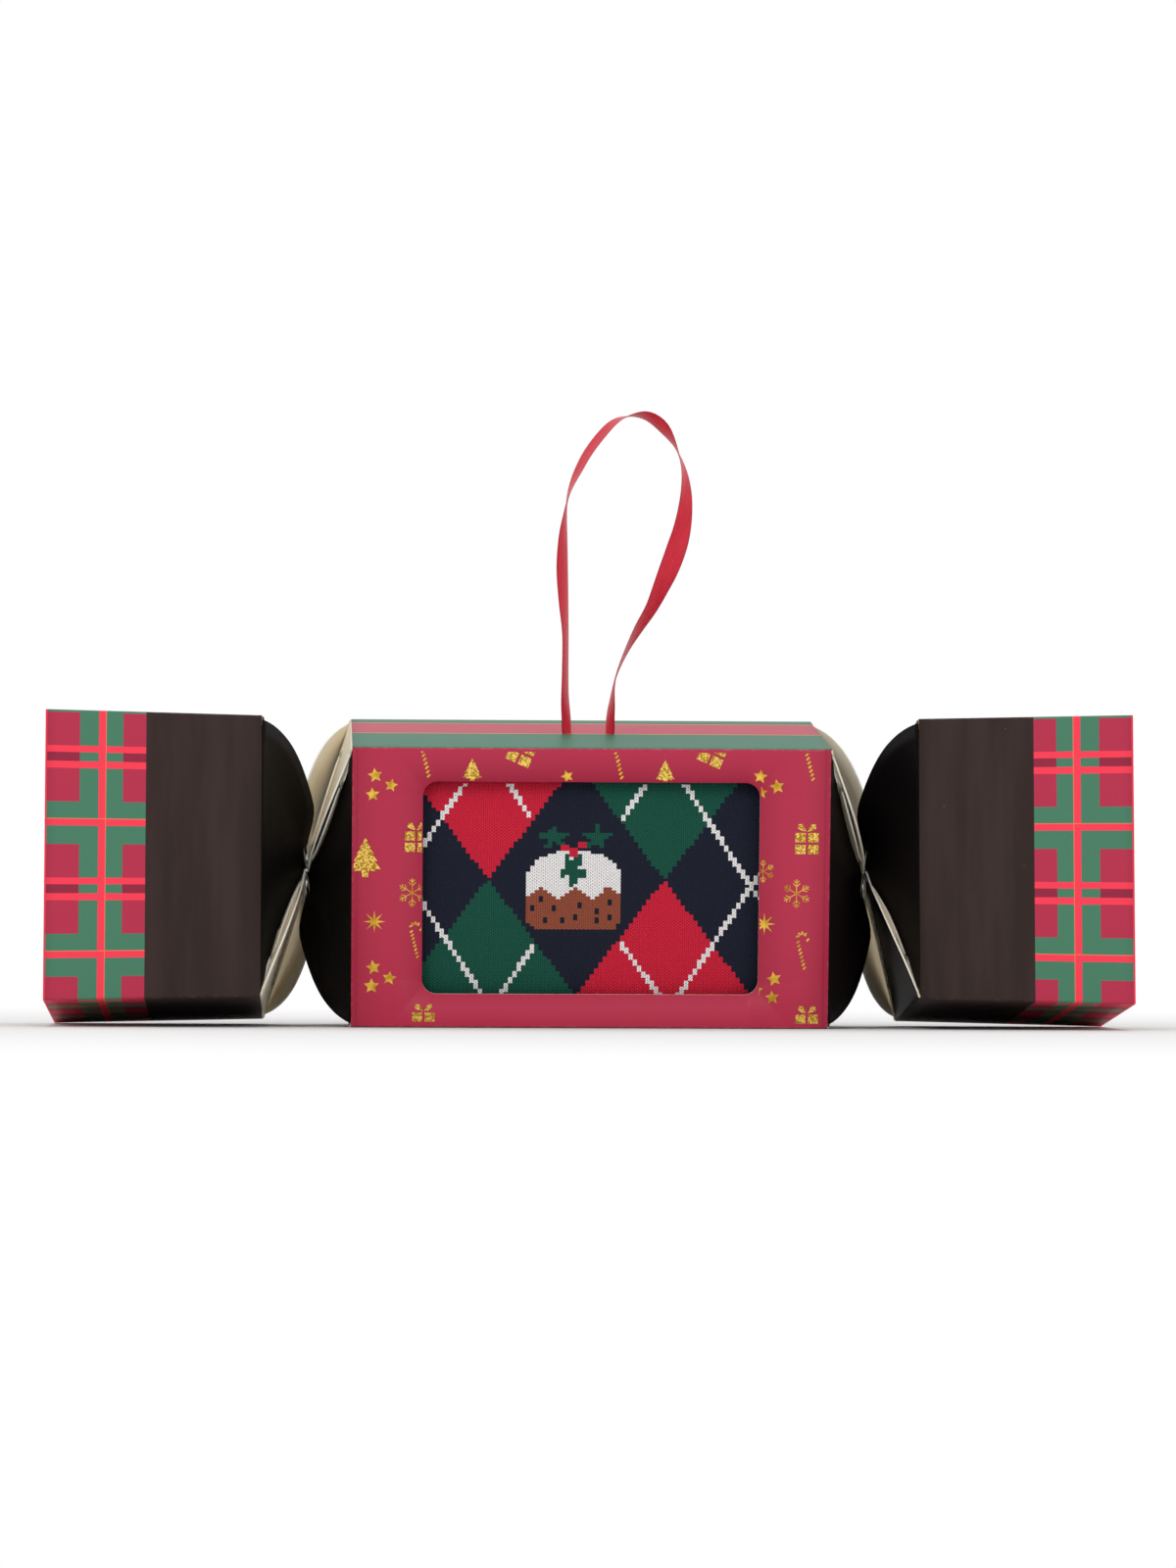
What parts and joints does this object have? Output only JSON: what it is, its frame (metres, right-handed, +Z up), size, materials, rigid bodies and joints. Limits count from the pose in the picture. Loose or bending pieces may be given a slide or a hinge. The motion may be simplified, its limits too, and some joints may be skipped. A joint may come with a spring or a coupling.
{
  "type": "christmas cracker gift box",
  "caption": "Cracker-shaped folded card gift box: square body with a window on a knitted sock, twisted necks, open square ends and a ribbon hanging loop.",
  "frame": {"origin": "middle of the carton's bounding box in plan, at the level of the table it lies on", "axes": "+X along the cracker to the picture's right, -Y to the window side, +Z up"},
  "size_m": [0.301, 0.0876, 0.1731],
  "materials": {
    "crimson_card": "satin print, gold foil icons",
    "green_card": "satin print, gold lines, central crimson band",
    "tartan_card": "satin print, dark ground with a red and green tartan band",
    "black_gold_card": "gloss black print with gold folded parts and white cut edges",
    "plain_card": "uncoated",
    "satin_ribbon": "satin",
    "knitted_sock": "matt knit in a diamond pattern"
  },
  "bodies": {
    "carton_body": {"body_front_panel": "crimson_card", "body_top_panel": "green_card", "body_back_panel": "crimson_card", "body_bottom_panel": "green_card", "body_glue_flap": "plain_card", "hang_ribbon": "satin_ribbon", "ribbon_knot": "satin_ribbon", "sock_front": "knitted_sock", "sock_rear": "knitted_sock"},
    "left_neck_inner": {"left_body_petal_top": "black_gold_card", "left_body_petal_front": "black_gold_card", "left_body_petal_bottom": "black_gold_card", "left_body_petal_back": "black_gold_card"},
    "left_neck_outer": {"left_end_petal_front": "black_gold_card", "left_end_petal_bottom": "black_gold_card", "left_end_petal_back": "black_gold_card", "left_end_petal_top": "black_gold_card"},
    "left_end": {"left_end_top_panel": "tartan_card", "left_end_front_panel": "tartan_card", "left_end_bottom_panel": "tartan_card", "left_end_back_panel": "tartan_card", "left_end_glue_flap": "plain_card"},
    "right_neck_inner": {"right_body_petal_top": "black_gold_card", "right_body_petal_front": "black_gold_card", "right_body_petal_bottom": "black_gold_card", "right_body_petal_back": "black_gold_card"},
    "right_neck_outer": {"right_end_petal_front": "black_gold_card", "right_end_petal_bottom": "black_gold_card", "right_end_petal_back": "black_gold_card", "right_end_petal_top": "black_gold_card"},
    "right_end": {"right_end_top_panel": "tartan_card", "right_end_front_panel": "tartan_card", "right_end_bottom_panel": "tartan_card", "right_end_back_panel": "tartan_card", "right_end_glue_flap": "plain_card"}
  },
  "joints": [
    {"name": "left_neck_stretch_in", "type": "slide", "parent": "carton_body", "child": "left_neck_inner", "axis": [-1, 0, 0], "range_m": [0, 0.028], "deforming": ["left_body_petal_top", "left_body_petal_front", "left_body_petal_bottom", "left_body_petal_back"]},
    {"name": "left_twist", "type": "hinge", "parent": "left_neck_inner", "child": "left_neck_outer", "pos_m": [-0.0785, 0, 0.04378], "axis": [-1, 0, 0], "range_deg": [0, 77.2]},
    {"name": "left_neck_stretch_out", "type": "slide", "parent": "left_neck_outer", "child": "left_end", "axis": [-1, 0, 0], "range_m": [0, 0.028], "deforming": ["left_end_petal_front", "left_end_petal_bottom", "left_end_petal_back", "left_end_petal_top"]},
    {"name": "right_neck_stretch_in", "type": "slide", "parent": "carton_body", "child": "right_neck_inner", "axis": [1, 0, 0], "range_m": [0, 0.028], "deforming": ["right_body_petal_top", "right_body_petal_front", "right_body_petal_bottom", "right_body_petal_back"]},
    {"name": "right_twist", "type": "hinge", "parent": "right_neck_inner", "child": "right_neck_outer", "pos_m": [0.0785, 0, 0.04378], "axis": [-1, 0, 0], "range_deg": [0, 77.2]},
    {"name": "right_neck_stretch_out", "type": "slide", "parent": "right_neck_outer", "child": "right_end", "axis": [1, 0, 0], "range_m": [0, 0.028], "deforming": ["right_end_petal_front", "right_end_petal_bottom", "right_end_petal_back", "right_end_petal_top"]}
  ],
  "couplings": [
    {"joint": "left_neck_stretch_in", "follows": "left_twist", "m_per_rad": 0.02077},
    {"joint": "left_neck_stretch_out", "follows": "left_twist", "m_per_rad": 0.02077},
    {"joint": "right_neck_stretch_in", "follows": "right_twist", "m_per_rad": 0.02077},
    {"joint": "right_neck_stretch_out", "follows": "right_twist", "m_per_rad": 0.02077}
  ]
}
